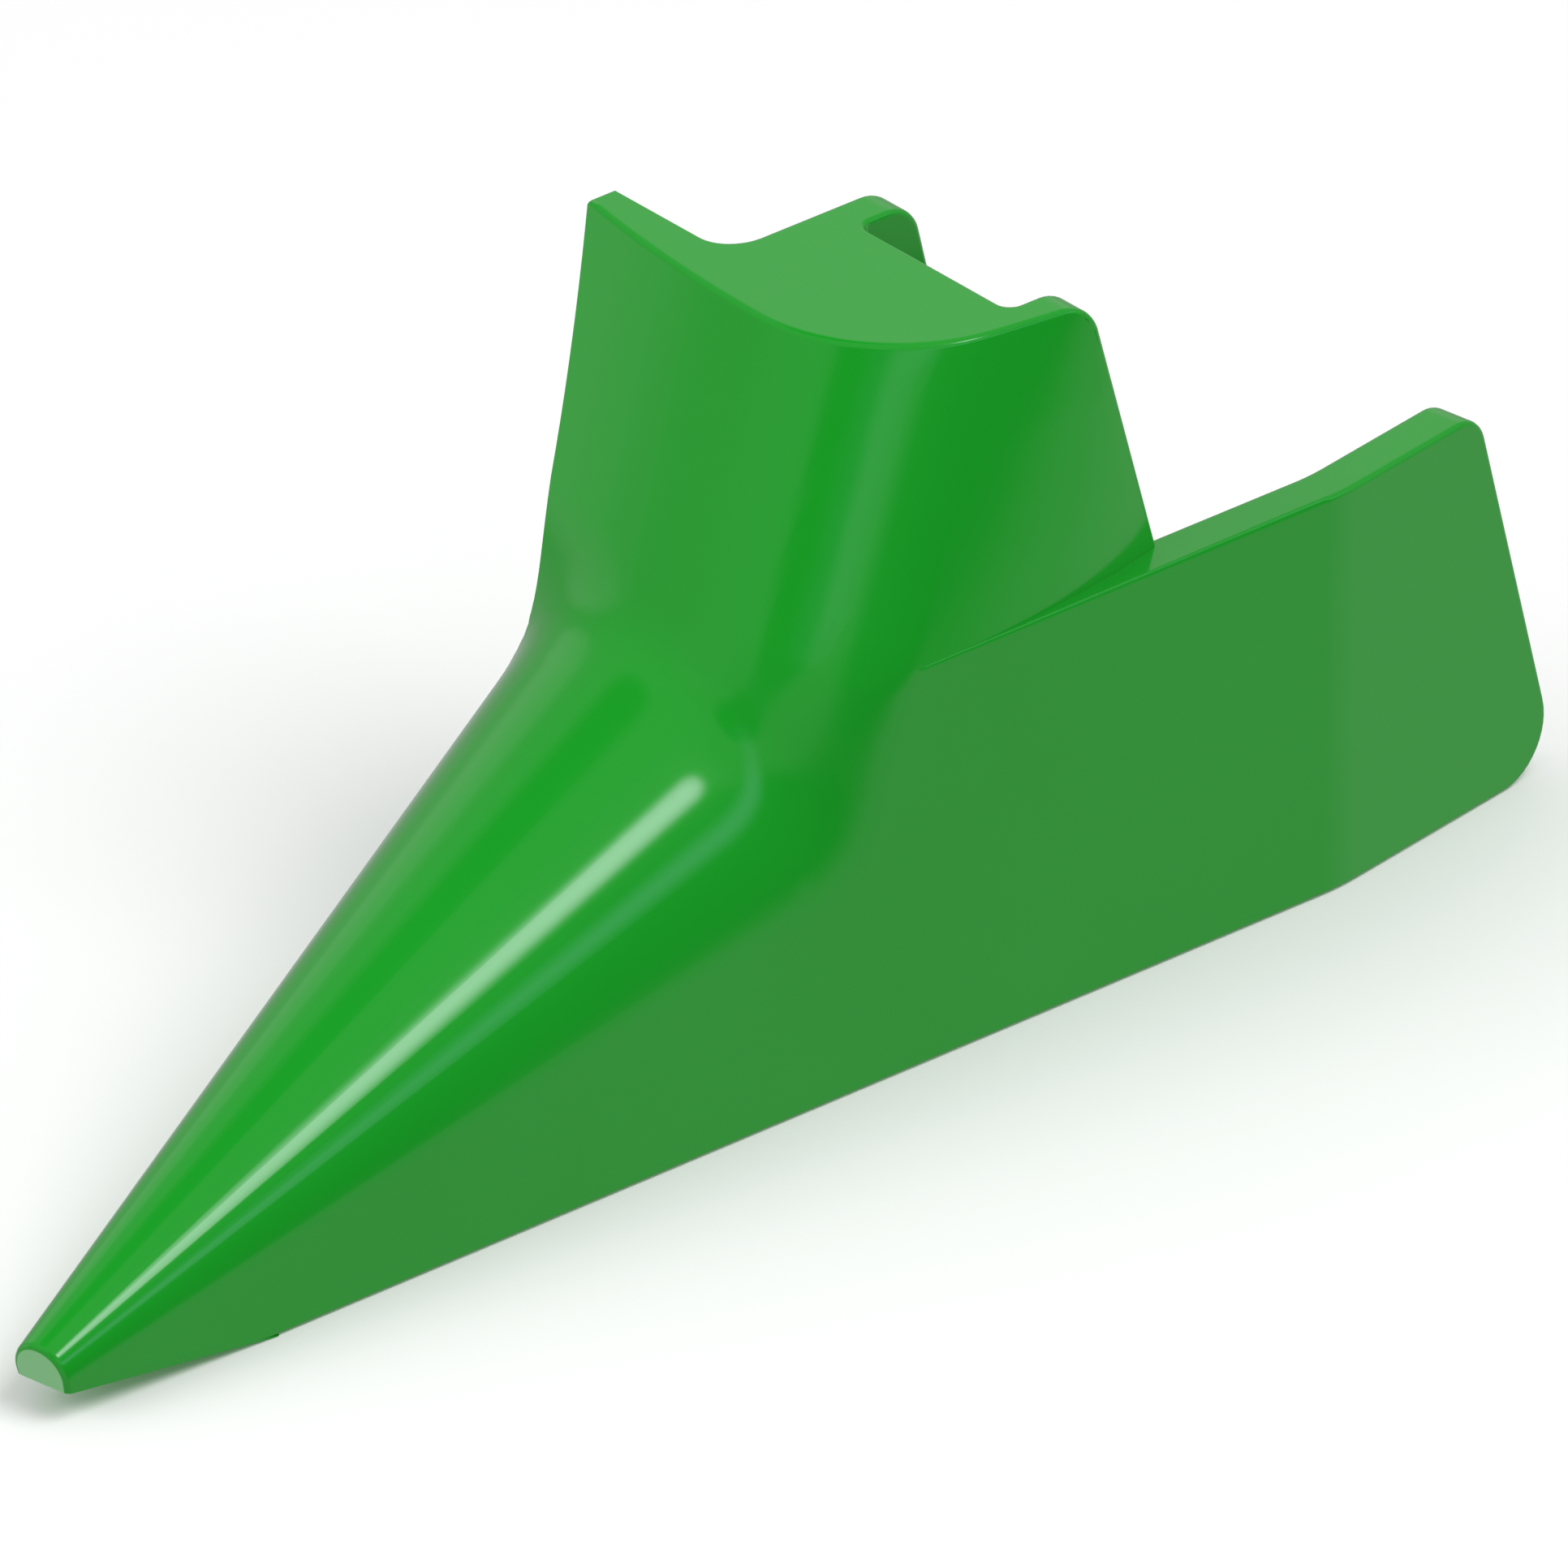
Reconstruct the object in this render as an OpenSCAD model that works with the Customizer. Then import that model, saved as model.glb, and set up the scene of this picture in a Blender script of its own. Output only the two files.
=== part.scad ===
// Ground-opener shoe for a seed coulter leg: one hard casting with two cast-in thread inserts.
// Nose towards -Y, tail towards +Y, landside plate on +X, sole on Z = 0.
// The shapes are laid out from the lower landside edge (X = 0 on the plate's outer face, Y = 0
// where the sole turns up to the point) and moved as a whole, so that the origin is on the sole,
// at the middle of the shoe's bounding box.

/* [Nose] */
// Length of the turned-up point, from its end face to the flat sole
point_len = 36.6; // [24:0.1:50]
// Radius of the nose cone at its blunt end
tip_r = 4.45; // [3:0.05:6]
// Half angle of the nose cone
nose_half_angle = 11; // [9:0.1:12]
// Rise of the line where the cone touches the landside
nose_rise = 10.3; // [9:0.1:12]
// Height of that line over the sole at the blunt end
tip_lift = 6.2; // [5:0.1:9]
// Angle of the turned-up part of the sole
turn_up_angle = 7.1; // [3:0.1:9]
// Length of the cone along its landside line
nose_len = 127; // [110:1:140]

/* [Post] */
// Height of the post
post_h = 99; // [85:1:120]
// Distance of the slot's front wall from the start of the flat sole
slot_y = 135; // [128:0.5:145]
// Lean of the post's front face, from vertical
front_lean = 30.5; // [26:0.5:34]
// Corner radius between front face and landside, at the top
corner_r_top = 24; // [18:0.5:28]
// The same corner radius at plate height
corner_r_foot = 23; // [18:0.5:26]
// Distance from front face to slot wall, at the top
front_wall_top = 26; // [20:0.5:34]
// Inset of the post's landside from the plate's face, at the top corner
corner_inset = 9; // [6:0.5:12]
// Inset of the cheek's landside at its rear edge, at the top
cheek_inset = 7; // [5:0.5:9]
// The same inset at plate height
cheek_foot_inset = 5; // [3:0.5:7]
// Bow radius of the front face
front_bow_r = 220; // [150:5:400]
// Rake of the post's rear edges, from vertical
rear_rake = 13.8; // [10:0.1:20]
// Radius of the upper rear corners
rear_corner_r = 5.8; // [3:0.1:8]

/* [Slot and cheeks] */
// Width of the slot for the leg
slot_w = 30; // [20:0.5:34]
// Depth of the slot at the top, from its front wall to the cheeks' rear edges
slot_depth = 9.5; // [7:0.5:20]
// Thickness of the cheeks
cheek_t = 6; // [4.5:0.5:8]
// Thickness of the slot's floor over the sole
floor_t = 10; // [8:0.5:14]
// Fillet in the slot's front corners
slot_fillet = 2; // [1:0.5:4]

/* [Wing] */
// Reach of the wing beyond the outer cheek, at the top
wing_reach = 22.5; // [16:0.5:30]
// Reach of the same edge at plate height
wing_foot_reach = 5; // [4:0.5:8]
// Thickness of the wing at its outer edge
wing_t = 4.8; // [3.5:0.1:8]
// Fillet between wing and outer cheek
wing_fillet = 5; // [3:0.5:8]

/* [Landside plate] */
// Height of the plate
plate_h = 60; // [54:0.5:64]
// Thickness of the plate
plate_t = 6.8; // [5:0.1:8]
// Distance of the tail's bend from the start of the flat sole
bend_y = 182.3; // [176:0.1:210]
// Inward bend of the tail
tail_angle = 9.4; // [0.5:0.1:14]
// Radius of the bend on the outer face
bend_r = 38; // [20:1:60]
// Length of the tail along the sole
tail_len = 45.3; // [30:0.1:60]
// Rake of the tail's rear edge, from vertical
tail_rake = 15.8; // [10:0.1:20]
// Radius of the tail's lower corner
tail_corner_r = 8.6; // [4:0.1:14]

/* [Thread inserts] */
// Radius of the inserts' bore, tapped M10
bore_r = 4.25; // [3:0.05:6]
// Width across flats of the hexagonal inserts
insert_af = 19; // [16:0.5:22]
// Length of the inserts
insert_len = 14; // [10:0.5:18]
// Diameter of the waist that locks an insert in the casting
waist_d = 15; // [13:0.5:16]
// Height of the lower insert's axis
insert_z = 28; // [22:0.5:36]
// Distance between the two inserts' axes
insert_pitch = 45; // [30:0.5:55]

/* [Hidden] */
$fn = 96;
green = [0.20, 0.58, 0.23];
steel = [0.62, 0.62, 0.60];

// Nose cone: its apex, its axis and the two directions across it (landside, up).
apex_len = tip_r / sin(nose_half_angle);
axis = [
    -sin(nose_half_angle),
    cos(nose_half_angle) * cos(nose_rise),
    cos(nose_half_angle) * sin(nose_rise)
];
apex = [
    0,
    -point_len - apex_len * cos(nose_rise),
    tip_lift - apex_len * sin(nose_rise)
];
side_line = [0, cos(nose_rise), sin(nose_rise)];
across = (side_line - axis * cos(nose_half_angle)) / sin(nose_half_angle);
upward = cross(across, axis);
cone_end = apex_len + nose_len;

// Post: front lean, landside and wing edge as shares of the height above the plate.
post_rise = post_h - plate_h;
lean = tan(front_lean);
rake = tan(rear_rake);
top_front_y = slot_y - front_wall_top;
foot_front_y = top_front_y - lean * post_rise;
block_y = foot_front_y + corner_r_foot;
rear_top_y = slot_y + slot_depth;
near_in = cheek_inset + cheek_t;
slot_x = -near_in - slot_w / 2;
far_in = -near_in - slot_w;
far_out = far_in - cheek_t;
// Turn round the cone, below its axis, at which the nose's square lower half ends
sole_turn = acos(1 - min(-far_out / (cone_end * sin(nose_half_angle) * cos(nose_half_angle)), 1.9));
wing_tip_x = far_out - wing_reach;
wing_foot_x = far_out - wing_foot_reach;
rear_foot_y = rear_top_y + rake * post_rise;
beyond = rear_top_y + rake * post_h + 20;
wing_bow = front_bow_r - sqrt(pow(front_bow_r, 2)
    - pow(wing_tip_x + corner_inset + corner_r_top, 2));
wing_back_y = top_front_y + wing_bow + wing_t;

// Tail: its outline runs from the bend, and its lower corner gives the rearmost point.
lower_half = (90 - tail_rake) / 2;
tail_slope = tan(tail_rake);
tail_reach = tail_len - tail_corner_r / tan(lower_half) + tail_corner_r;
bend_start = bend_y - bend_r * tan(tail_angle / 2);
bend_tangent = bend_r * tan(tail_angle / 2);
bend_steps = 6;

// The bounding box that the origin is centred in.
nose_end_y = apex[1] + apex_len * cos(nose_half_angle) * axis[1]
    - tip_r * sqrt(1 - axis[1] * axis[1]);
tail_end_y = bend_y + tail_reach * cos(tail_angle);
shift = [-wing_tip_x / 2, -(nose_end_y + tail_end_y) / 2, 0];

// Angle of the landside behind the corner, at the top.
corner_to_rear = [corner_inset + corner_r_top - cheek_inset,
    rear_top_y - top_front_y - corner_r_top];
side_run = 0.6;
top_turn = acos(corner_r_top / norm(corner_to_rear))
    - atan2(corner_to_rear[1], corner_to_rear[0]);

// Resolution of the skins: landside, corner and front face round the post, the nose's outer
// side, and the heights of post and throat.
side_steps = 8;
corner_steps = 18;
front_steps = 18;
outer_steps = 10;
rise_steps = 10;
throat_steps = 14;
skin_steps = corner_steps + front_steps;
corner_share = corner_steps / skin_steps;

// Throat: share of the post's rise that its blend takes at the front and at the wing, how far
// its seam on the cone swings back and forth and how fast, the turns round the cone that meet
// the front face's edge and the wing's, and how full the blend's curve is. The solids of nose
// and post end in the heart of the shoe, and the throat's is buried under the plate's height.
blend_front = 0.17;
blend_wing = 0.25;
seam_swing = 5.5;
seam_turns = 1.8;
ridge_turn = 80;
wing_turn = 148;
flank_len = 16;
fullness = 0.5;
throat_back = slot_y - floor_t;
bury = 3;
heart = [slot_x, throat_back - 2 * floor_t, floor_t];

function mix(a, b, t) = a + (b - a) * t;
function smooth(t) = t * t * (3 - 2 * t);
function unit(v) = v / norm(v);

function cone_point(len, turn) = apex + len * (cos(nose_half_angle) * axis
    + sin(nose_half_angle) * (cos(turn) * across + sin(turn) * upward));

// Bezier curve of four control points.
function bezier(a, b, c, d, t) = pow(1 - t, 3) * a + 3 * pow(1 - t, 2) * t * b
    + 3 * (1 - t) * t * t * c + t * t * t * d;

// Post section at share t of its rise: corner circle, then the bowed front face to the wing edge.
function corner_r(t) = mix(corner_r_foot, corner_r_top, t);
function corner_x(t) = mix(-corner_r_foot, -corner_inset - corner_r_top, t);
function front_y(t) = mix(foot_front_y, top_front_y, t);
function wing_x(t) = mix(wing_foot_x, wing_tip_x, 0.72 * t + 0.28 * t * t);
// Height shares at which the post's skin starts over the throat, and turns round the cone below.
function near_share(s) = min(s / corner_share, 1);
function far_share(s) = max((s - corner_share) / (1 - corner_share), 0);
function foot(s) = far_share(s) > 0 ? mix(blend_front, blend_wing, smooth(far_share(s)))
    : blend_front * smooth(near_share(s));
function cone_turn(s) = near_share(s) * ridge_turn + far_share(s) * (wing_turn - ridge_turn);

// Point at share s of the way round the section, from the landside (0) to the wing edge (1).
function skin_xy(s, t) = s <= corner_share
    ? let (a = mix(t * top_turn, 90, s / corner_share))
        [corner_x(t) + corner_r(t) * cos(a), front_y(t) + corner_r(t) * (1 - sin(a))]
    : let (x = mix(corner_x(t), wing_x(t), far_share(s)), off = corner_x(t) - x)
        [x, front_y(t) + front_bow_r - sqrt(front_bow_r * front_bow_r - off * off)];
function skin_point(s, t) = concat(skin_xy(s, t), plate_h + t * post_rise);

// Point at share s of the way back along the landside, from the corner (0) to the rear edge (1).
function side_point(s, t) =
    let (a = skin_xy(0, t), c = [mix(-cheek_foot_inset, -cheek_inset, t),
             mix(rear_foot_y, rear_top_y, t)],
         b = a + [sin(t * top_turn), cos(t * top_turn)] * (c[1] - a[1]) * side_run,
         p = (1 - s) * (1 - s) * a + 2 * s * (1 - s) * b + s * s * c)
    [p[0], p[1], plate_h + t * post_rise];

// Side faces of a stack of closed rings that all have the same number of points.
function ring_faces(rings, count) = [
    for (i = [0 : rings - 2], j = [0 : count - 1])
        each [
            [i * count + j, i * count + (j + 1) % count, (i + 1) * count + j],
            [i * count + (j + 1) % count, (i + 1) * count + (j + 1) % count, (i + 1) * count + j]
        ]
];

// Solid through a row of closed slices with equal numbers of points, in order along the row.
module slices_solid(slices) {
    count = len(slices[0]);
    last = (len(slices) - 1) * count;
    hub = count - 2;
    fan = [for (k = [1 : count - 2]) [hub, (hub + k) % count, (hub + k + 1) % count]];
    polyhedron(
        points = [for (slice = slices) each slice],
        faces = concat([for (f = fan) [f[2], f[1], f[0]]], ring_faces(len(slices), count),
            [for (f = fan) [last + f[0], last + f[1], last + f[2]]])
    );
}

module place() {
    translate(shift) children();
}

// Removes a sharp outline corner at c, between the directions to a and b, down to radius r.
module corner_trim(a, c, b, r) {
    ua = unit(a - c);
    ub = unit(b - c);
    half = acos(ua * ub) / 2;
    middle = c + unit(ua + ub) * r / sin(half);
    difference() {
        polygon([c - unit(ua + ub), c + ua * r / tan(half), middle, c + ub * r / tan(half)]);
        translate(middle) circle(r);
    }
}

// Side outlines are drawn as (Y, Z) and stood up across X, from x_from to x_to.
module side_prism(x_from, x_to) {
    translate([x_from, 0, 0]) rotate([90, 0, 90]) linear_extrude(x_to - x_from) children();
}

// Section of the nose at a slant length: over the cone from the line where it touches the
// landside, down its outer side and square down to the sole.
function nose_ring(len, back) =
    let (side = cone_point(len, -sole_turn), level = apex * axis + len * cos(nose_half_angle))
    concat(
        [for (j = [0 : skin_steps]) let (turn = cone_turn(j / skin_steps))
            cone_point(len - back * sin(seam_turns * turn), turn)],
        [for (j = [1 : outer_steps]) let (share = j / outer_steps)
            cone_point(len - back * (1 - share) * sin(seam_turns * wing_turn),
                mix(wing_turn, 360 - sole_turn, share))],
        [
            [side[0], (level - axis[0] * side[0]) / axis[1], 0],
            [0, level / axis[1], 0]
        ]
    );
module nose() {
    count = skin_steps + outer_steps + 3;
    polyhedron(
        points = concat(nose_ring(apex_len, 0), nose_ring(cone_end, seam_swing), [heart]),
        faces = concat([[for (j = [count - 1 : -1 : 0]) j]], ring_faces(2, count),
            [for (j = [0 : count - 1]) [count + j, count + (j + 1) % count, 2 * count]])
    );
}

// One slice of the throat at share s of the way round: the blend from cone to post, then the
// solid behind it, down to the sole.
function throat_slice(s) =
    let (turn = cone_turn(s), low = cone_point(cone_end - seam_swing * sin(seam_turns * turn), turn),
         high = skin_point(s, foot(s)), reach = norm(high - low) * fullness,
         along = unit(low - apex), rise = unit(skin_point(s, 1) - skin_point(s, 0)),
         up = unit([rise[0] * smooth(near_share(s)), rise[1], rise[2]]),
         back_x = mix(high[0], slot_x, 2 * s * (1 - s)))
    concat(
        [for (k = [0 : throat_steps])
            bezier(low, low + reach * along, high - reach * up, high, k / throat_steps)],
        [
            [back_x, throat_back, plate_h - bury],
            [back_x, throat_back, 0],
            [mix(low[0], slot_x, 0.4 * s), low[1] + floor_t * s, 0]
        ]
    );
module throat() {
    slices_solid([for (j = [skin_steps : -1 : 0]) throat_slice(j / skin_steps)]);
}

// Flank: what is left of the cone's outer side eases back into the outer cheek's plane.
function flank_slice(j) =
    let (low = nose_ring(cone_end, seam_swing)[skin_steps + j], share = j / outer_steps,
         high = [far_out, low[1] + flank_len, low[2]], along = unit(low - apex) * flank_len / 2)
    concat(
        [for (k = [0 : rise_steps])
            bezier(low, low + along, high - [0, flank_len / 2, 0], high, k / rise_steps)],
        [[far_out + cheek_t, high[1], high[2]], [far_out + cheek_t, low[1], low[2]]]
    );
module flank() {
    slices_solid([for (j = [outer_steps : -1 : 0]) flank_slice(j)]);
}

// Post with both cheeks, solid back to beyond the rear edges.
module post_block() {
    count = side_steps + skin_steps + 3;
    rings = [
        for (i = [0 : rise_steps])
            let (u = i / rise_steps, rear = side_point(1, u), wing = wing_x(mix(foot(1), 1, u)))
            concat(
                [[rear[0], beyond, rear[2]]],
                [for (j = [side_steps : -1 : 1]) side_point(j / side_steps, u)],
                [for (j = [0 : skin_steps]) let (s = j / skin_steps)
                    skin_point(s, mix(foot(s), 1, u))],
                [[wing, beyond, u * post_h]]
            )
    ];
    last = rise_steps * count;
    polyhedron(
        points = concat([for (ring = rings) each ring], [heart]),
        faces = concat([for (j = [0 : count - 1]) [(j + 1) % count, j, last + count]],
            ring_faces(rise_steps + 1, count), [[for (j = [0 : count - 1]) last + j]])
    );
}

// Solid under the post, between the landside and the outer cheek's plane.
module lower_block() {
    outer_y = nose_ring(cone_end, 0)[skin_steps + outer_steps + 1][1] - 1;
    translate([far_out, block_y, 0]) cube([-far_out, beyond - block_y, plate_h]);
    translate([far_out, outer_y, 0]) cube([slot_w / 2, block_y - outer_y + 1, plate_h / 2]);
}

// Everything behind the raked rear edges, with the rounded upper corner.
module rear_trim() {
    corner = [rear_top_y, post_h];
    side_prism(far_out - wing_reach - 1, 1) {
        polygon([
            [rear_top_y + rake * (post_h + 1), -1],
            [rear_top_y - rake, post_h + 1],
            [beyond + 1, post_h + 1],
            [beyond + 1, -1]
        ]);
        corner_trim(corner - [1, 0], corner, corner + [rake, -1], rear_corner_r);
    }
}

// The space behind the wing and beside the outer cheek, along the lean of the front face.
module wing_trim() {
    run = 3 * post_h;
    translate([far_out, wing_back_y, post_h]) rotate([-front_lean, 0, 0])
        translate([0, 0, -run]) linear_extrude(2 * run) difference() {
            translate([-2 * wing_reach, 0]) square([2 * wing_reach, run]);
            difference() {
                translate([-wing_fillet, -1]) square(wing_fillet + 1);
                translate([-wing_fillet, wing_fillet]) circle(wing_fillet);
            }
        }
}

// Slot for the leg, filleted in its front corners, open to the top and to the rear.
module slot_cut() {
    corner_l = [far_in, slot_y];
    corner_r = [far_in + slot_w, slot_y];
    translate([0, 0, floor_t]) linear_extrude(post_h) difference() {
        translate(corner_l) square([slot_w, beyond]);
        corner_trim(corner_l + [1, 0], corner_l, corner_l + [0, 1], slot_fillet);
        corner_trim(corner_r - [1, 0], corner_r, corner_r + [0, 1], slot_fillet);
    }
}

// Outer form of a thread insert, from the slot's front wall inwards: two hexagons and a waist.
module insert_form(z) {
    hex_r = insert_af / 2 / cos(30);
    collar = insert_len / 4;
    translate([slot_x, slot_y, z]) rotate([90, 0, 0]) {
        cylinder(h = collar, r = hex_r, $fn = 6);
        cylinder(h = insert_len, d = waist_d);
        translate([0, 0, insert_len - collar]) cylinder(h = collar, r = hex_r, $fn = 6);
    }
}
module thread_insert(z) {
    difference() {
        insert_form(z);
        translate([slot_x, slot_y + 1, z]) rotate([90, 0, 0]) cylinder(h = insert_len + 2, r = bore_r);
    }
}

// Landside plate: straight run, bend and tail in one plan outline, with the tail's rear edge
// raked and its corners rounded.
function bend_point(r, i) = let (a = tail_angle * i / bend_steps)
    [r * cos(a) - bend_r, bend_start + r * sin(a)];
module landside_plate() {
    inner_r = bend_r - plate_t;
    tail_run = tail_len - bend_tangent;
    tail_end = (tail_run + 1) * [-sin(tail_angle), cos(tail_angle)];
    low = [tail_run, 0];
    high = [tail_run - tail_slope * plate_h, plate_h];
    difference() {
        linear_extrude(plate_h) polygon(concat(
            [[-plate_t, block_y], [0, block_y]],
            [for (i = [0 : bend_steps]) bend_point(bend_r, i)],
            [bend_point(bend_r, bend_steps) + tail_end, bend_point(inner_r, bend_steps) + tail_end],
            [for (i = [bend_steps : -1 : 0]) bend_point(inner_r, i)]
        ));
        translate([-bend_r, bend_start, 0]) rotate([0, 0, tail_angle])
            side_prism(inner_r - 1, bend_r + 1) {
                polygon([low + [tail_slope, -1], high + [-tail_slope, 1], low + [2, plate_h + 1], low + [2, -1]]);
                corner_trim(low - [1, 0], low, low + [-tail_slope, 1], tail_corner_r);
                corner_trim(high - [1, 0], high, high + [tail_slope, -1], rear_corner_r);
            }
    }
}

// The turned-up sole in front of the flat one.
module turn_up_trim() {
    far_y = nose_end_y - 5;
    side_prism(far_out, 1)
        polygon([[0, 0], [far_y, -far_y * tan(turn_up_angle)], [far_y, -5], [0, -5]]);
}

module shoe_body() {
    color(green) place() {
        difference() {
            union() {
                throat();
                post_block();
                lower_block();
            }
            rear_trim();
            wing_trim();
            slot_cut();
            insert_form(insert_z);
            insert_form(insert_z + insert_pitch);
        }
        difference() {
            union() {
                nose();
                flank();
            }
            turn_up_trim();
            insert_form(insert_z);
            insert_form(insert_z + insert_pitch);
        }
        landside_plate();
    }
}

module lower_thread_insert() {
    color(steel) place() thread_insert(insert_z);
}

module upper_thread_insert() {
    color(steel) place() thread_insert(insert_z + insert_pitch);
}

shoe_body();
lower_thread_insert();
upper_thread_insert();
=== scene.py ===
import math

import bmesh
import bpy
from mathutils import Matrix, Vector


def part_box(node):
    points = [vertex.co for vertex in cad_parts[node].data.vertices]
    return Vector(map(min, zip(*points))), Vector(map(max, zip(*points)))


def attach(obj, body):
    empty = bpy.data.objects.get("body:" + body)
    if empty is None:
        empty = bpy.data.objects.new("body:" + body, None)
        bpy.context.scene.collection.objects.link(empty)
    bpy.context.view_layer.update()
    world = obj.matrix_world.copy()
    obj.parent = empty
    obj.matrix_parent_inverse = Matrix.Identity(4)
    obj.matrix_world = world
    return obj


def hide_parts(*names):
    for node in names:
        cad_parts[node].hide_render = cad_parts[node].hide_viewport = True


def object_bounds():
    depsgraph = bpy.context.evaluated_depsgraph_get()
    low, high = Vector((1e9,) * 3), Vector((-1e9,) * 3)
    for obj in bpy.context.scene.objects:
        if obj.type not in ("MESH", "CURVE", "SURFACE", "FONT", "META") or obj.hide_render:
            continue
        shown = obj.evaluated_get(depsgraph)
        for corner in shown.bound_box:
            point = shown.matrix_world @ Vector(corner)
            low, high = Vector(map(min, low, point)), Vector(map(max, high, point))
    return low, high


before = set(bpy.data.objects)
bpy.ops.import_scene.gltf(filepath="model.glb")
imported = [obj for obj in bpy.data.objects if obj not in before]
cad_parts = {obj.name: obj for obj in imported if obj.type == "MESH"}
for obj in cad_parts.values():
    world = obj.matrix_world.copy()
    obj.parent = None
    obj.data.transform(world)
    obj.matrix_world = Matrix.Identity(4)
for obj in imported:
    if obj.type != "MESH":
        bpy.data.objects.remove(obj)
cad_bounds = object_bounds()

low, high = cad_bounds

# Shoe casting: one hard iron casting of nose, throat, post, two cheeks, wing and landside
# plate. Its outer edges are fettled a little round on the top, the open rear, the plate, the
# ledge and the nose's blunt end, and it is dipped in green enamel.
EDGE_ROUNDING = 0.0008
EDGE_STEPS = 3
SHARP_EDGE = math.radians(24)
SMOOTH_UP_TO = math.radians(40)
CAST_MERGE = 0.0001
CAST_FLAT = math.radians(0.4)
FACET_BEND = math.radians(8)
FACET_SKEW = math.radians(80)
RIM_SLACK = 0.0002
SOLE_SLACK = 0.001
REAR_FROM_Y = 0.047
LEDGE_HEIGHT = 0.060
LEDGE_FROM_X = 0.034
LEDGE_FROM_Y = 0.034
TIP_LENGTH = 0.003
TIP_FACES_FORWARD = -0.9
SOLE_FACES_DOWN = -0.5


def rough_copy(node_name, piece_name, merge, flat):
    """A copy of a CAD node in edit mode, its loose triangles joined up and all selected."""
    piece = bpy.data.objects.new(piece_name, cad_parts[node_name].data.copy())
    bpy.context.scene.collection.objects.link(piece)
    bpy.ops.object.select_all(action="DESELECT")
    piece.select_set(True)
    bpy.context.view_layer.objects.active = piece
    piece.data.materials.clear()
    bpy.ops.mesh.customdata_custom_splitnormals_clear()
    bpy.ops.object.mode_set(mode="EDIT")
    bpy.ops.mesh.select_all(action="SELECT")
    bpy.ops.mesh.remove_doubles(threshold=merge)
    bpy.ops.mesh.dissolve_limited(angle_limit=flat)
    return piece


def fettle(piece, reached, rounding, steps):
    """Round the sharp outer edges that are reached, and even out the shading."""
    bpy.ops.mesh.select_all(action="DESELECT")
    shape = bmesh.from_edit_mesh(piece.data)
    for edge in shape.edges:
        sharp = edge.is_convex and edge.calc_face_angle() > SHARP_EDGE
        edge.select_set(sharp and reached(edge))
    bmesh.update_edit_mesh(piece.data)
    bpy.ops.mesh.bevel(offset=rounding, segments=steps, affect="EDGES", clamp_overlap=False)
    bpy.ops.object.mode_set(mode="OBJECT")
    bpy.ops.object.shade_smooth_by_angle(angle=SMOOTH_UP_TO)
    evening = piece.modifiers.new("even_shading", "WEIGHTED_NORMAL")
    evening.keep_sharp = True
    bpy.ops.object.modifier_apply(modifier=evening.name)


def casting_edge(edge):
    """True in the parts of the casting where sharp edges are fettled."""
    corners = [corner.co for corner in edge.verts]
    normals = [face.normal for face in edge.link_faces]
    middle = (corners[0] + corners[1]) / 2
    on_top = min(corner.z for corner in corners) > high.z - RIM_SLACK
    on_rear = middle.y > REAR_FROM_Y
    on_plate = min(corner.x for corner in corners) > high.x - RIM_SLACK and middle.z < SOLE_SLACK
    on_ledge = (abs(middle.z - LEDGE_HEIGHT) < RIM_SLACK
                and middle.x > LEDGE_FROM_X and middle.y > LEDGE_FROM_Y)
    on_tip = (middle.y < low.y + TIP_LENGTH
              and min(normal.y for normal in normals) < TIP_FACES_FORWARD
              and min(normal.z for normal in normals) > SOLE_FACES_DOWN)
    return on_top or on_rear or on_plate or on_ledge or on_tip


casting = rough_copy("shoe_body", "shoe_casting", CAST_MERGE, CAST_FLAT)
bpy.ops.mesh.tris_convert_to_quads(face_threshold=FACET_BEND, shape_threshold=FACET_SKEW)
fettle(casting, casting_edge, EDGE_ROUNDING, EDGE_STEPS)

ENAMEL_GREEN = (0.0075, 0.308, 0.0160, 1)
ENAMEL_THIN = (0.0100, 0.330, 0.0200, 1)
ENAMEL_IOR = 1.5
ENAMEL_ROUGHNESS = 0.105
ROUGHNESS_DRIFT = 0.04
DRIFT_SCALE = 22
DRIFT_DETAIL = 3
PEEL_SCALE = 900
PEEL_DETAIL = 2
PEEL_SHARE = 0.3
RELIEF_STRENGTH = 0.05
RELIEF_DEPTH = 0.0001


class Wire:
    """A node socket that can be used in sums, which add their Math nodes."""

    def __init__(self, tree, socket=None):
        self.tree = tree
        self.socket = socket

    def node(self, kind, settings, values, output=0):
        made = self.tree.nodes.new(kind)
        for name, setting in settings.items():
            setattr(made, name, setting)
        for name, value in values.items():
            if isinstance(value, Wire):
                self.tree.links.new(value.socket, made.inputs[name])
            else:
                made.inputs[name].default_value = value
        return Wire(self.tree, made.outputs[output] if made.outputs else None)

    def sum(self, operation, first, second):
        return self.node("ShaderNodeMath", {"operation": operation}, {0: first, 1: second})

    def __add__(self, other):
        return self.sum("ADD", self, other)

    def __sub__(self, other):
        return self.sum("SUBTRACT", self, other)

    def __rsub__(self, other):
        return self.sum("SUBTRACT", other, self)

    def __mul__(self, other):
        return self.sum("MULTIPLY", self, other)

    __radd__ = __add__
    __rmul__ = __mul__


def blank(finish):
    """The empty node tree of a finish, to be wired."""
    finish.use_nodes = True
    finish.node_tree.nodes.clear()
    return Wire(finish.node_tree)


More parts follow.
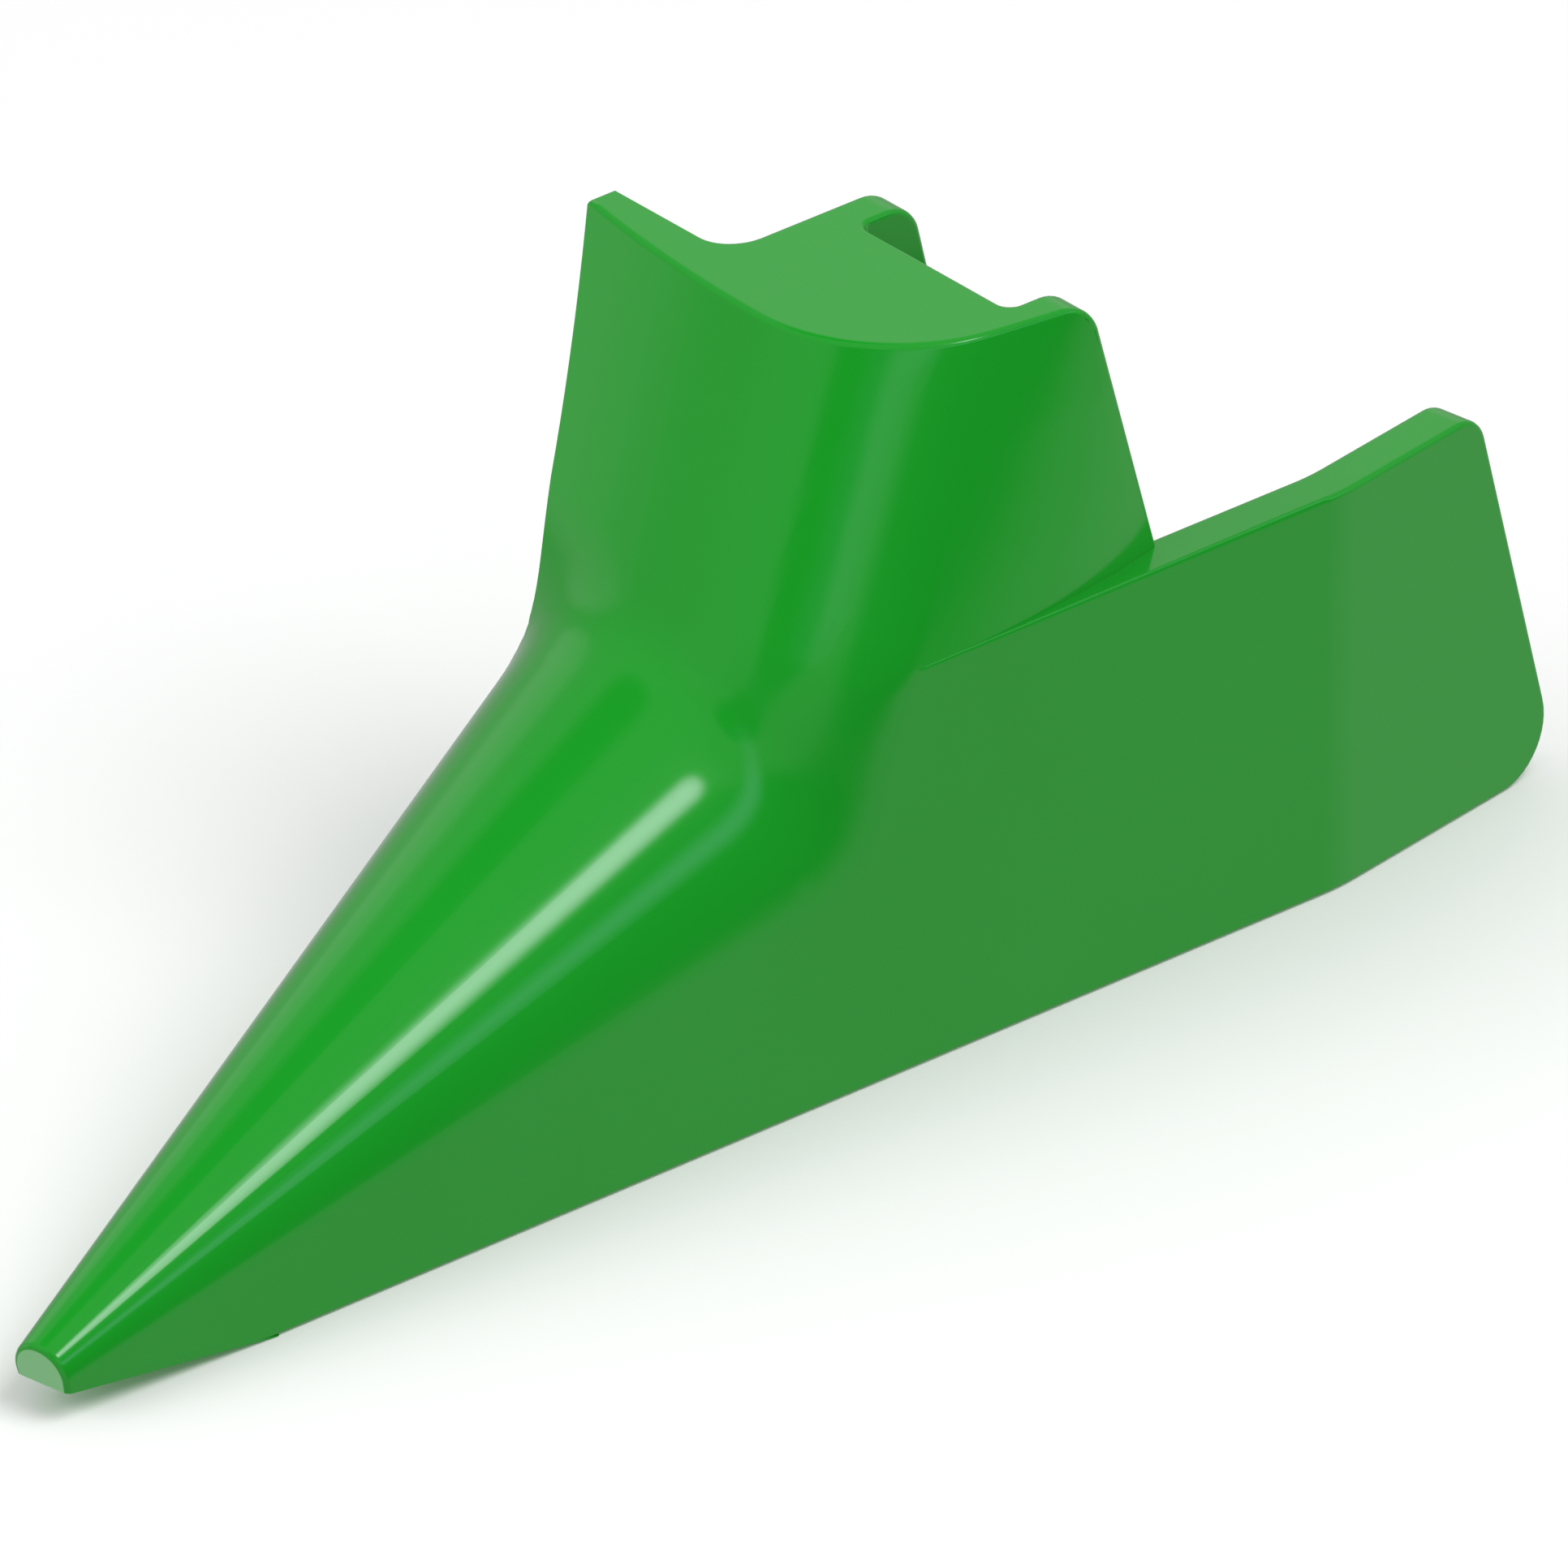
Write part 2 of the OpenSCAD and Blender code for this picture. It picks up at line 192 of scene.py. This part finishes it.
# The film's thickness drifts slowly over the casting, and a fine orange peel lies on top.
enamel = bpy.data.materials.new("green_enamel")
paint = blank(enamel)
place = paint.node("ShaderNodeTexCoord", {}, {}, "Object")
drift = paint.node("ShaderNodeTexNoise", {},
                   {"Vector": place, "Scale": DRIFT_SCALE, "Detail": DRIFT_DETAIL})
peel = paint.node("ShaderNodeTexNoise", {},
                  {"Vector": place, "Scale": PEEL_SCALE, "Detail": PEEL_DETAIL})
film = paint.node("ShaderNodeMix", {"data_type": "RGBA"},
                  {"Factor": drift, "A": ENAMEL_GREEN, "B": ENAMEL_THIN}, "Result")
relief = paint.node("ShaderNodeBump", {}, {
    "Strength": RELIEF_STRENGTH,
    "Distance": RELIEF_DEPTH,
    "Height": peel * PEEL_SHARE + drift,
})
gloss = paint.node("ShaderNodeBsdfPrincipled", {}, {
    "Base Color": film,
    "Roughness": drift * ROUGHNESS_DRIFT + ENAMEL_ROUGHNESS,
    "IOR": ENAMEL_IOR,
    "Normal": relief,
})
paint.node("ShaderNodeOutputMaterial", {}, {"Surface": gloss})
casting.data.materials.append(enamel)
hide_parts("shoe_body")
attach(casting, "root")

# Thread inserts: hexagonal steel nuts with a waist, cast into the slot's front wall, so that
# the leg's bolts find a steel thread. Their edges are broken and their bores tapped.
BROKEN_EDGE = 0.0003
BROKEN_STEPS = 2
NUT_MERGE = 0.00001
NUT_FLAT = math.radians(0.3)
THREAD_PITCH = 0.0015
THREAD_DEPTH = 0.0005
THREAD_STEPS = 32
RIDGE_CORNERS = 4
BORE_RADIUS = 0.00425
STEEL = (0.42, 0.42, 0.40, 1)
STEEL_ROUGHNESS = 0.28
GRAIN_ROUGHNESS = 0.2
GRAIN_SCALE = 700
GRAIN_DETAIL = 3

bare_steel = bpy.data.materials.new("bare_steel")
metal = blank(bare_steel)
place = metal.node("ShaderNodeTexCoord", {}, {}, "Object")
grain = metal.node("ShaderNodeTexNoise", {},
                   {"Vector": place, "Scale": GRAIN_SCALE, "Detail": GRAIN_DETAIL})
turned = metal.node("ShaderNodeBsdfPrincipled", {}, {
    "Base Color": STEEL,
    "Metallic": 1.0,
    "Roughness": grain * GRAIN_ROUGHNESS + STEEL_ROUGHNESS,
})
metal.node("ShaderNodeOutputMaterial", {}, {"Surface": turned})

for node_name in ("lower_thread_insert", "upper_thread_insert"):
    start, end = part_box(node_name)
    nut = rough_copy(node_name, node_name.replace("thread", "steel"), NUT_MERGE, NUT_FLAT)
    fettle(nut, lambda edge: True, BROKEN_EDGE, BROKEN_STEPS)
    nut.data.materials.append(bare_steel)
    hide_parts(node_name)
    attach(nut, "root")

    # The tapped thread is a ridge that winds along the bore, a pitch short of either end.
    turns = int((end.y - start.y - 2 * THREAD_PITCH) / THREAD_PITCH)
    bpy.ops.object.select_all(action="DESELECT")
    bpy.ops.mesh.primitive_circle_add(vertices=RIDGE_CORNERS, radius=THREAD_DEPTH,
                                      fill_type="NOTHING", location=(BORE_RADIUS, 0, 0),
                                      rotation=(math.pi / 2, 0, 0))
    thread = bpy.context.active_object
    thread.name = node_name.replace("insert", "ridge")
    bpy.ops.object.transform_apply(location=True, rotation=True, scale=True)
    winding = thread.modifiers.new("winding", "SCREW")
    winding.screw_offset = THREAD_PITCH
    winding.iterations = turns
    winding.steps = THREAD_STEPS
    winding.render_steps = THREAD_STEPS
    bpy.ops.object.modifier_apply(modifier=winding.name)
    bpy.ops.object.mode_set(mode="EDIT")
    bpy.ops.mesh.select_all(action="SELECT")
    bpy.ops.mesh.fill_holes(sides=RIDGE_CORNERS)
    bpy.ops.mesh.select_all(action="SELECT")
    bpy.ops.mesh.normals_make_consistent(inside=False)
    bpy.ops.object.mode_set(mode="OBJECT")
    thread.rotation_euler = (-math.pi / 2, 0, 0)
    thread.location = ((start.x + end.x) / 2, start.y + THREAD_PITCH, (start.z + end.z) / 2)
    bpy.ops.object.transform_apply(location=True, rotation=True, scale=True)
    thread.data.materials.clear()
    thread.data.materials.append(bare_steel)
    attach(thread, "root")

# Floor: a plain matt pale sheet, level with the sole. It takes a soft shadow, and stays out of
# the gloss and of the light that falls back on the shoe.
FLOOR_SIZE = 30
FLOOR_WHITE = (0.93, 0.93, 0.93, 1)
FLOOR_ROUGHNESS = 0.9

bpy.ops.object.select_all(action="DESELECT")
bpy.ops.mesh.primitive_plane_add(size=FLOOR_SIZE, location=(0, 0, low.z))
floor = bpy.context.active_object
floor.name = "studio_floor"
pale_sheet = bpy.data.materials.new("pale_sheet")
sheet = blank(pale_sheet)
matt = sheet.node("ShaderNodeBsdfPrincipled", {}, {
    "Base Color": FLOOR_WHITE,
    "Roughness": FLOOR_ROUGHNESS,
    "Specular IOR Level": 0,
})
sheet.node("ShaderNodeOutputMaterial", {}, {"Surface": matt})
floor.data.materials.append(pale_sheet)
floor.visible_glossy = False
floor.visible_diffuse = False

# Studio: pale walls all round for the soft light. In the gloss they show a bright lamp box, a
# long bluish strip, soft glows and darker curtains between them.
WALL_LIGHT = 0.62
WALL_SEEN = 0.93
WHITE = (1, 1, 1, 1)
WALL_IN_GLOSS = 0.38
LOW_GLOW = 0.12
LOW_GLOW_FROM = -0.10
LOW_GLOW_FULL = -0.45
# A patch has its direction as azimuth and elevation, the angle within which it is full and the
# one beyond which it is gone, all in degrees, and its strength.
GLOWS = (
    ((138, 28), 12, 30, 0.33),
    ((60, -29), 4, 18, 0.12),
    ((-152, 4), 5, 18, 0.4),
    ((170, 21), 6, 16, 0.3),
    ((-128, -44), 10, 22, 2.2),
)
CURTAINS = (
    ((10, 8), 21, 40, 1.0),
    ((22, 40), 8, 18, 0.7),
    ((-61, 32), 10, 19, 1.0),
    ((171, 66), 5, 16, 0.95),
)
STRIP_HEIGHT = math.sin(math.radians(30.5))
STRIP_HALF_WIDTH = 0.14
STRIP_COLOR = (0.55, 0.78, 1.0, 1)
STRIP_CORE = ((22, 31), 12, 45, 1.0)
STRIP_SPREAD = ((0, 30), 30, 55, 0.6)
KEY_BOX = ((21.5, 57), 0.5, 8, 8.6)
KEY_COLOR = (0.90, 0.93, 1.0, 1)


def toward(azimuth, elevation):
    """The unit vector of a direction."""
    turn = math.radians(azimuth)
    climb = math.radians(elevation)
    return (math.cos(turn) * math.cos(climb), math.sin(turn) * math.cos(climb), math.sin(climb))


studio = bpy.data.worlds.new("studio")
bpy.context.scene.world = studio
room = blank(studio)
look = room.node("ShaderNodeVectorMath", {"operation": "NORMALIZE"},
                 {0: room.node("ShaderNodeTexCoord", {}, {}, "Generated")})
rise = room.node("ShaderNodeSeparateXYZ", {}, {"Vector": look}, "Z")


def step(value, start, end):
    """A soft step from 0 at the start to 1 at the end."""
    return room.node("ShaderNodeMapRange", {"interpolation_type": "SMOOTHSTEP"},
                     {"Value": value, "From Min": start, "From Max": end})


def patch(center, inner, outer, strength):
    """A round patch of light about a direction."""
    near = room.node("ShaderNodeVectorMath", {"operation": "DOT_PRODUCT"},
                     {0: look, 1: toward(*center)}, "Value")
    return strength * step(near, math.cos(math.radians(outer)), math.cos(math.radians(inner)))


def lamp(color, strength):
    return room.node("ShaderNodeBackground", {}, {"Color": color, "Strength": strength})


def both(first, second):
    return room.node("ShaderNodeAddShader", {}, {0: first, 1: second})


def choose(mask, no, yes):
    return room.node("ShaderNodeMixShader", {}, {0: mask, 1: no, 2: yes})


walls = WALL_IN_GLOSS + LOW_GLOW * step(rise, LOW_GLOW_FROM, LOW_GLOW_FULL)
for glow in GLOWS:
    walls = walls + patch(*glow)
for curtain in CURTAINS:
    walls = walls * (1 - patch(*curtain))
strip = (step(rise, STRIP_HEIGHT - STRIP_HALF_WIDTH, STRIP_HEIGHT)
         * step(rise, STRIP_HEIGHT + STRIP_HALF_WIDTH, STRIP_HEIGHT)
         * (patch(*STRIP_CORE) + patch(*STRIP_SPREAD)))
lamps = both(lamp(STRIP_COLOR, strip), lamp(KEY_COLOR, patch(*KEY_BOX)))
is_camera = room.node("ShaderNodeLightPath", {}, {}, "Is Camera Ray")
is_gloss = room.node("ShaderNodeLightPath", {}, {}, "Is Glossy Ray")
plain = choose(is_camera, lamp(WHITE, WALL_LIGHT), lamp(WHITE, WALL_SEEN))
surround = choose(is_gloss, plain, both(lamp(WHITE, walls), lamps))
room.node("ShaderNodeOutputWorld", {}, {"Surface": surround})

# Soft boxes: two big round ones that give the shading, the main one high over the landside and
# a weaker one before the nose. The gloss shows the studio's own lamps in their place.
SOFTBOX_DISTANCE = 2.4
SOFTBOX_SIZE = 1.6
SOFTBOXES = (
    ("main_softbox", (21.5, 58), 27),
    ("front_softbox", (-110, 30), 18),
)

for name, direction, power in SOFTBOXES:
    softbox = bpy.data.lights.new(name, "AREA")
    softbox.shape = "DISK"
    softbox.size = SOFTBOX_SIZE
    softbox.energy = power
    aim = Vector(toward(*direction))
    holder = bpy.data.objects.new(name, softbox)
    holder.location = aim * SOFTBOX_DISTANCE
    holder.rotation_mode = "QUATERNION"
    holder.rotation_quaternion = aim.to_track_quat("Z", "Y")
    holder.visible_camera = False
    holder.visible_glossy = False
    bpy.context.scene.collection.objects.link(holder)

# Camera: far back with a long lens, above the nose on the landside, so that edges that run
# the same way stay nearly parallel.
CAMERA_BACK = Vector((0.6645, -0.5646, 0.4897))
CAMERA_TARGET = Vector((0.0512, -0.0205, 0.0625))
CAMERA_DISTANCE = 6.13
SENSOR_WIDTH = 36
LENS = 1081.6
NEAREST = 0.1
FARTHEST = 100

camera = bpy.data.objects.new("camera", bpy.data.cameras.new("camera"))
bpy.context.scene.collection.objects.link(camera)
camera.location = CAMERA_TARGET + CAMERA_BACK * CAMERA_DISTANCE
camera.rotation_mode = "QUATERNION"
camera.rotation_quaternion = CAMERA_BACK.to_track_quat("Z", "Y")
camera.data.sensor_width = SENSOR_WIDTH
camera.data.lens = LENS
camera.data.clip_start = NEAREST
camera.data.clip_end = FARTHEST
bpy.context.scene.camera = camera
bpy.context.scene.view_settings.view_transform = "Standard"
